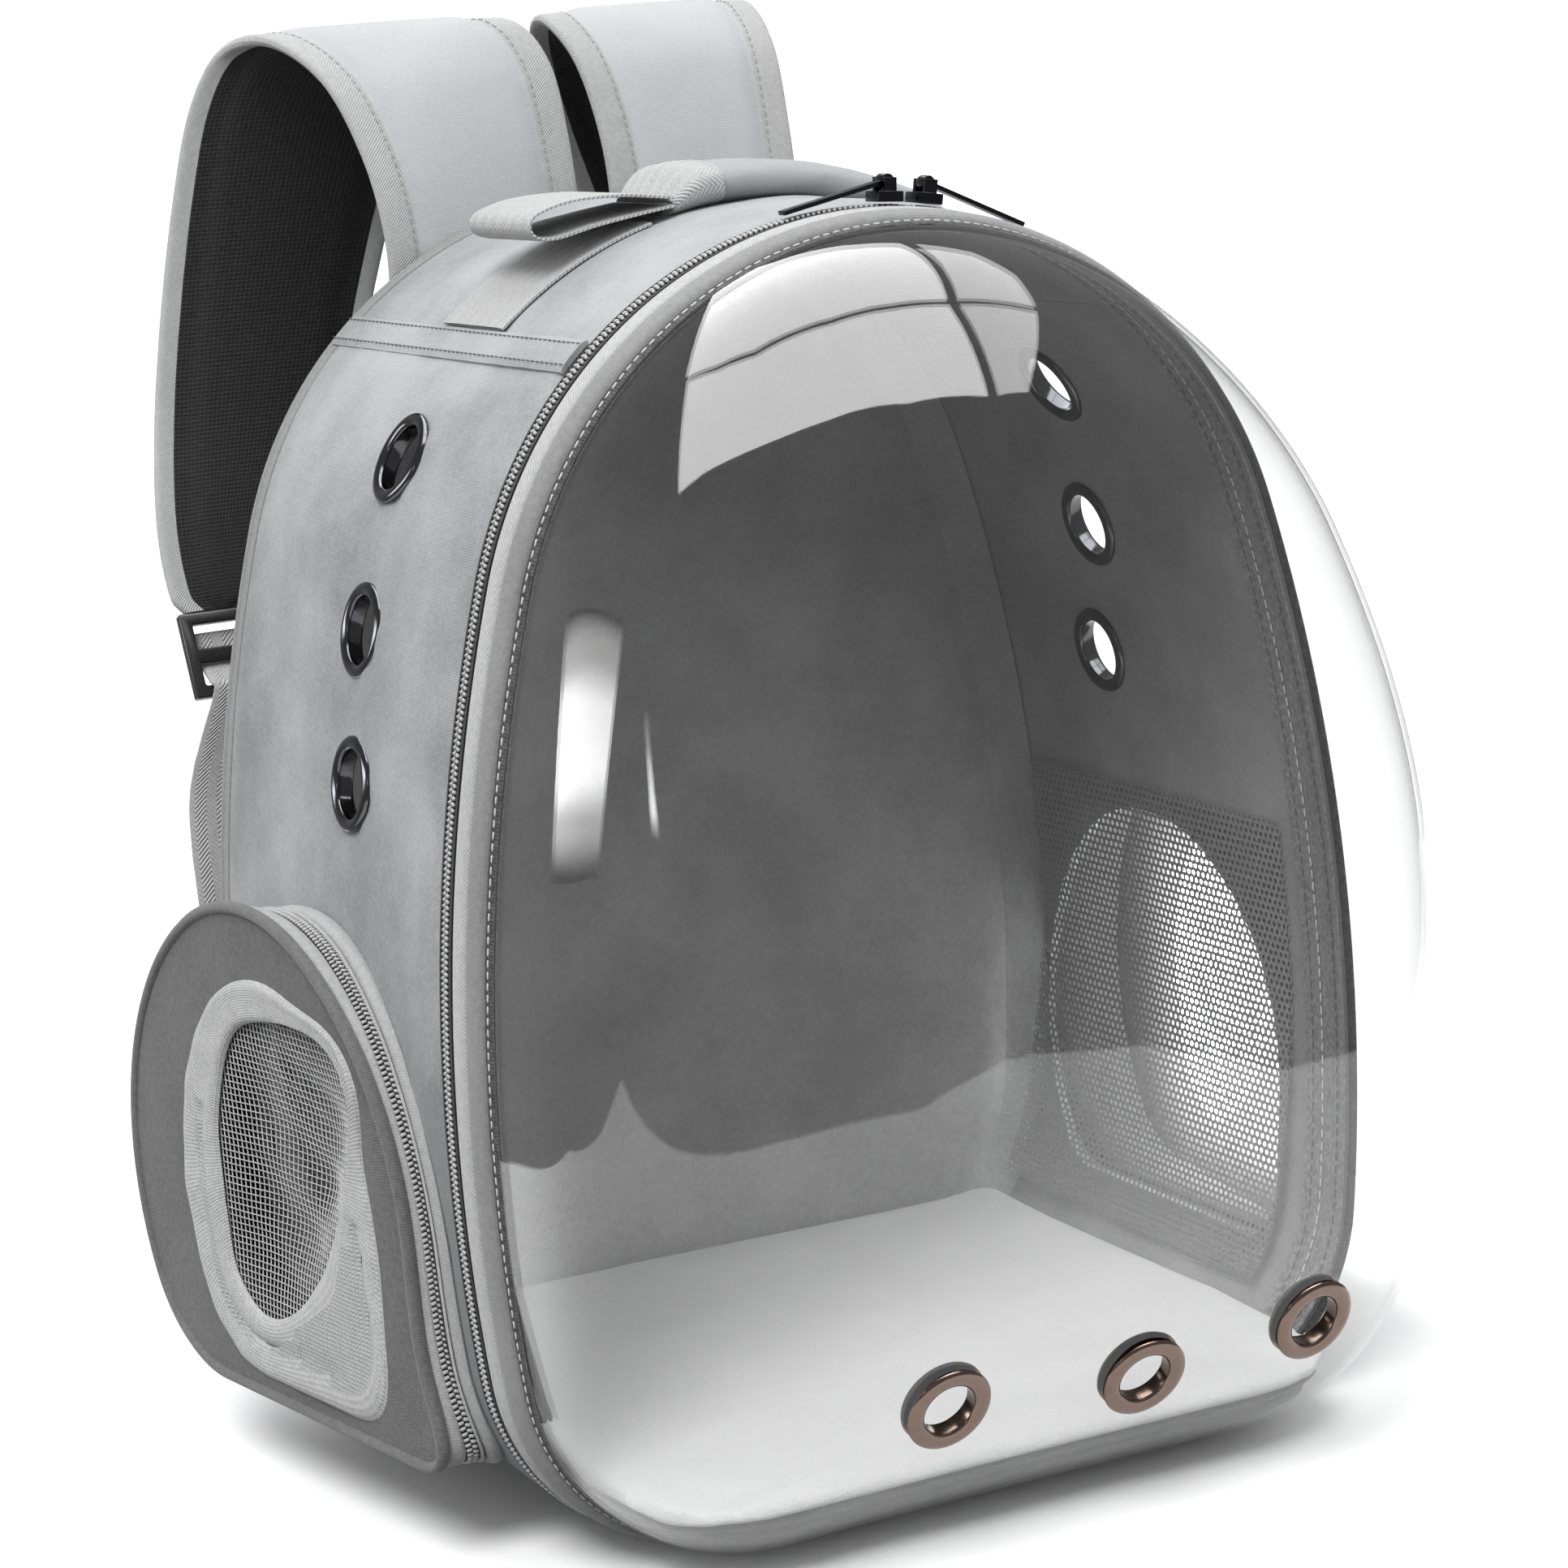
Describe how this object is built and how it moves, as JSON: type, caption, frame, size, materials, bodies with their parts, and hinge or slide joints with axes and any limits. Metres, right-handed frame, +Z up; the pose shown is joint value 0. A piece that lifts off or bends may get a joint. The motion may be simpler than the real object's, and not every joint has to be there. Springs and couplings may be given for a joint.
{
  "type": "bubble pet carrier backpack",
  "caption": "Arched fabric pet carrier backpack with a clear bulging front dome, side mesh pouches, vent rings, a top handle and padded shoulder straps.",
  "frame": {"origin": "centre of the flat foot of the fabric shell, on the floor it stands on", "axes": "+Z up, -Y towards the clear dome, +Y towards the shoulder straps, +X to the wearer's right seen from behind the dome"},
  "size_m": [0.4088, 0.4072, 0.4863],
  "materials": {
    "shell_fabric": "mottled grey woven polyester",
    "twill": "light grey twill tape",
    "dark_fabric": "dark grey woven polyester",
    "zip_tape": "black zip tape with a coil",
    "net": "light open net",
    "plush": "white short-pile plush",
    "clear_shell": "clear glossy formed sheet",
    "bronze_ring": "polished bronze-brown",
    "gunmetal_ring": "polished black chrome",
    "webbing": "light grey herringbone webbing",
    "strap_padding": "light grey padded fabric",
    "black_plastic": "moulded, semi-gloss",
    "black_metal": "glossy black plated"
  },
  "bodies": {
    "pack": {"side_panel_left": "shell_fabric", "side_panel_right": "shell_fabric", "top_panel": "shell_fabric", "bottom_panel": "dark_fabric", "back_panel": "dark_fabric", "back_piping": "dark_fabric", "shoulder_seam_left": "twill", "shoulder_seam_right": "twill", "corner_binding_left": "dark_fabric", "corner_binding_right": "dark_fabric", "front_zip": "zip_tape", "front_band": "twill", "front_roll": "dark_fabric", "dome": "clear_shell", "dome_ring_1": "bronze_ring", "dome_ring_2": "bronze_ring", "dome_ring_3": "bronze_ring", "vent_ring_left_1": "gunmetal_ring", "vent_ring_left_2": "gunmetal_ring", "vent_ring_left_3": "gunmetal_ring", "vent_ring_right_1": "gunmetal_ring", "vent_ring_right_2": "gunmetal_ring", "vent_ring_right_3": "gunmetal_ring", "pouch_gusset_left": "shell_fabric", "pouch_gusset_right": "shell_fabric", "pouch_zip_left": "twill", "pouch_zip_right": "twill", "pouch_panel_left": "dark_fabric", "pouch_panel_right": "dark_fabric", "pouch_piping_left": "dark_fabric", "pouch_piping_right": "dark_fabric", "window_ring_left": "twill", "window_ring_right": "twill", "window_mesh_left": "net", "window_mesh_right": "net", "inner_mesh_left": "net", "inner_mesh_right": "net", "floor_pad": "plush", "handle_tape_left": "webbing", "handle_tape_right": "webbing", "handle_grip": "strap_padding", "handle_bow": "webbing", "shoulder_strap_left": "strap_padding", "shoulder_strap_right": "strap_padding", "strap_adjuster_left": "black_plastic", "strap_adjuster_right": "black_plastic", "strap_webbing_left": "webbing", "strap_webbing_right": "webbing", "zip_slider_left": "black_metal", "zip_slider_right": "black_metal"},
    "pull_left": {"zip_pull_left": "black_metal"},
    "pull_right": {"zip_pull_right": "black_metal"}
  },
  "joints": [
    {"name": "pull_left_hinge", "type": "hinge", "parent": "pack", "child": "pull_left", "pos_m": [0.0116, -0.1044, 0.42746], "axis": [0, 1, 0], "range_deg": [0, 80]},
    {"name": "pull_right_hinge", "type": "hinge", "parent": "pack", "child": "pull_right", "pos_m": [0.02637, -0.1044, 0.42559], "axis": [0, -1, 0], "range_deg": [0, 80]}
  ]
}
